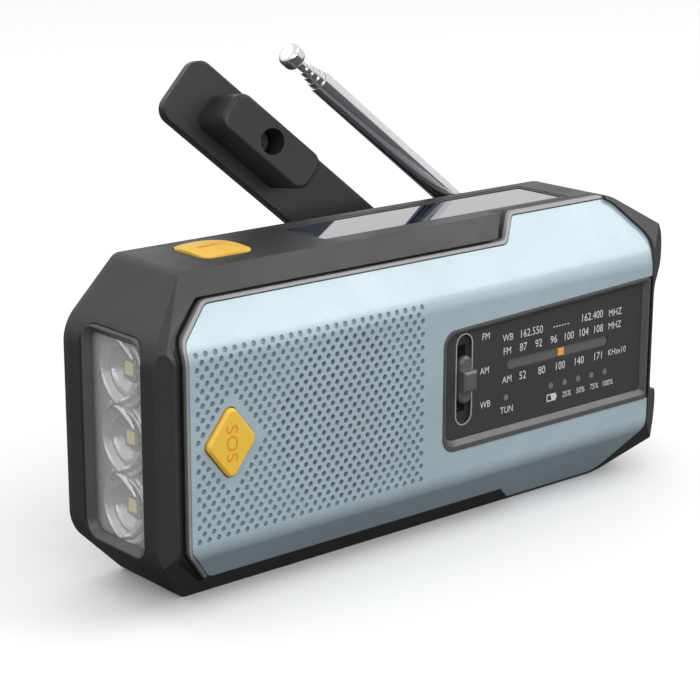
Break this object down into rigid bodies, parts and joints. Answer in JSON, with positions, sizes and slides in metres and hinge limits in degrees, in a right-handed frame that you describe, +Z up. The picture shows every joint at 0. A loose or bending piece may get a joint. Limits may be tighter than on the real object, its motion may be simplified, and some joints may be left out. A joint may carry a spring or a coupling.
{
  "type": "emergency radio",
  "caption": "Hand-crank emergency radio with perforated blue front, slanted tuning dial, end torch, top solar panel, fold-out crank and telescopic antenna.",
  "frame": {"origin": "on the flat underside, midway between the two ends, 15.2 mm behind the raised frame", "axes": "+X along the length towards the thumbwheels, -Y towards the blue front, +Z up"},
  "size_m": [0.152, 0.0629, 0.1057],
  "materials": {
    "case_black": "fine satin texture",
    "panel_blue": "satin metallic lacquer",
    "trim_grey": "satin",
    "dial_black": "semi-gloss",
    "scale_pale": "printed",
    "pointer_orange": "gloss",
    "key_yellow": "satin",
    "lens_clear": "clear moulded lens",
    "reflector_chrome": "vacuum metallised",
    "lamp_white": "diffuse",
    "board_green": "solder mask",
    "component_black": "moulded",
    "solar_frame_black": "satin",
    "solar_dark": "polished",
    "plated_steel": "zinc plated",
    "cone_paper": "pressed pulp",
    "ferrite": "sintered",
    "copper": "enamelled wire",
    "cell_wrap": "shrink sleeve",
    "gear_nylon": "moulded nylon",
    "hub_black": "satin",
    "antenna_chrome": "polished",
    "flap_rubber": "soft matt"
  },
  "bodies": {
    "case": {"front_housing": "case_black", "rear_cover": "case_black", "front_panel": "panel_blue", "panel_trim": "trim_grey", "dial_frame": "dial_black", "dial_plate": "dial_black", "scale_strip": "scale_pale", "band_switch": "component_black", "tact_switches": "component_black", "torch_bezel": "reflector_chrome", "torch_lens": "lens_clear", "torch_reflector": "reflector_chrome", "torch_leds": "lamp_white", "torch_board": "board_green", "solar_frame": "solar_frame_black", "solar_cell": "solar_dark", "solar_glass": "solar_dark", "speaker_frame": "plated_steel", "speaker_cone": "cone_paper", "speaker_magnet": "plated_steel", "main_board": "board_green", "indicator_leds": "lamp_white", "ferrite_rod": "ferrite", "antenna_coil": "copper", "battery_cell": "cell_wrap", "idler_pin": "plated_steel", "generator_can": "plated_steel", "gearbox_plate": "plated_steel", "antenna_rivet": "plated_steel", "tuning_capacitor": "component_black", "volume_control": "component_black", "case_screws": "plated_steel", "usb_sockets": "plated_steel"},
    "crank": {"crank_shaft": "plated_steel", "drive_gear": "gear_nylon", "crank_hub": "hub_black", "crank_hinge_pin": "plated_steel"},
    "crank_arm": {"crank_arm": "case_black", "crank_knob_screw": "plated_steel"},
    "crank_knob": {"crank_knob": "case_black"},
    "idler": {"idler_gear": "gear_nylon"},
    "rotor": {"generator_rotor": "plated_steel"},
    "antenna_base": {"antenna_swivel": "antenna_chrome"},
    "antenna_1": {"antenna_tube_1": "antenna_chrome"},
    "antenna_2": {"antenna_tube_2": "antenna_chrome"},
    "antenna_3": {"antenna_tube_3": "antenna_chrome"},
    "antenna_4": {"antenna_tube_4": "antenna_chrome"},
    "antenna_5": {"antenna_tube_5": "antenna_chrome", "antenna_tip": "antenna_chrome"},
    "tuning_knob": {"tuning_knob": "hub_black"},
    "volume_knob": {"volume_knob": "hub_black"},
    "tuning_pointer": {"tuning_pointer": "pointer_orange"},
    "band_slider": {"band_slider": "case_black"},
    "sos_button": {"sos_button": "key_yellow"},
    "torch_button": {"torch_button": "key_yellow"},
    "battery_door": {"battery_door": "case_black"},
    "port_cover": {"port_cover": "flap_rubber"}
  },
  "joints": [
    {"name": "crank_turn", "type": "hinge", "parent": "case", "child": "crank", "pos_m": [0.03814, 0.02, 0.034], "axis": [0, -1, 0], "continuous": true},
    {"name": "crank_fold", "type": "hinge", "parent": "crank", "child": "crank_arm", "pos_m": [0.03156, 0.02615, 0.04014], "axis": [-0.6824, 0, -0.731], "range_deg": [-13.5, 166.5]},
    {"name": "knob_spin", "type": "hinge", "parent": "crank_arm", "child": "crank_knob", "pos_m": [-0.01322, 0.04086, 0.08194], "axis": [-0.1707, -0.9724, 0.1593], "continuous": true},
    {"name": "idler_turn", "type": "hinge", "parent": "case", "child": "idler", "pos_m": [0.02314, 0.014, 0.034], "axis": [0, -1, 0], "continuous": true},
    {"name": "rotor_turn", "type": "hinge", "parent": "case", "child": "rotor", "pos_m": [0.01064, 0.011, 0.034], "axis": [0, -1, 0], "continuous": true},
    {"name": "antenna_swivel", "type": "hinge", "parent": "case", "child": "antenna_base", "pos_m": [0.048, 0.02, 0.0539], "axis": [0, 1, 0], "range_deg": [-38, 142]},
    {"name": "antenna_tilt", "type": "hinge", "parent": "antenna_base", "child": "antenna_1", "pos_m": [0.04327, 0.0218, 0.05759], "axis": [-0.6152, 0, -0.7883], "range_deg": [0, 90]},
    {"name": "antenna_slide_2", "type": "slide", "parent": "antenna_1", "child": "antenna_2", "axis": [-0.7883, 0, 0.6152], "range_m": [0, 0.052]},
    {"name": "antenna_slide_3", "type": "slide", "parent": "antenna_2", "child": "antenna_3", "axis": [-0.7883, 0, 0.6152], "range_m": [0, 0.052]},
    {"name": "antenna_slide_4", "type": "slide", "parent": "antenna_3", "child": "antenna_4", "axis": [-0.7883, 0, 0.6152], "range_m": [0, 0.052]},
    {"name": "antenna_slide_5", "type": "slide", "parent": "antenna_4", "child": "antenna_5", "axis": [-0.7883, 0, 0.6152], "range_m": [0, 0.052]},
    {"name": "tuning_turn", "type": "hinge", "parent": "case", "child": "tuning_knob", "pos_m": [0.07, 0.008, 0.0399], "axis": [1, 0, 0], "range_deg": [-135, 135]},
    {"name": "pointer_slide", "type": "slide", "parent": "case", "child": "tuning_pointer", "axis": [1, 0, 0], "range_m": [-0.0141, 0.0141]},
    {"name": "volume_turn", "type": "hinge", "parent": "case", "child": "volume_knob", "pos_m": [0.07, 0.008, 0.0276], "axis": [1, 0, 0], "range_deg": [-135, 135]},
    {"name": "band_slide", "type": "slide", "parent": "case", "child": "band_slider", "axis": [0, 0, 1], "range_m": [-0.0045, 0.0045]},
    {"name": "sos_press", "type": "slide", "parent": "case", "child": "sos_button", "axis": [0, 1, 0], "range_m": [0, 0.001], "stiffness_N_per_m": 300, "springref_m": -0.0005},
    {"name": "torch_press", "type": "slide", "parent": "case", "child": "torch_button", "axis": [0, 0, -1], "range_m": [0, 0.001], "stiffness_N_per_m": 300, "springref_m": -0.0005},
    {"name": "door_snap", "type": "slide", "parent": "case", "child": "battery_door", "axis": [0, 1, 0], "range_m": [0, 0.006]},
    {"name": "port_flap", "type": "hinge", "parent": "case", "child": "port_cover", "pos_m": [0.04445, 0.01935, 0.01625], "axis": [0, 0, 1], "range_deg": [0, 100]}
  ],
  "couplings": [
    {"joint": "idler_turn", "follows": "crank_turn", "ratio": -4},
    {"joint": "rotor_turn", "follows": "crank_turn", "ratio": 16},
    {"joint": "pointer_slide", "follows": "tuning_turn", "m_per_rad": 0.0059418}
  ]
}
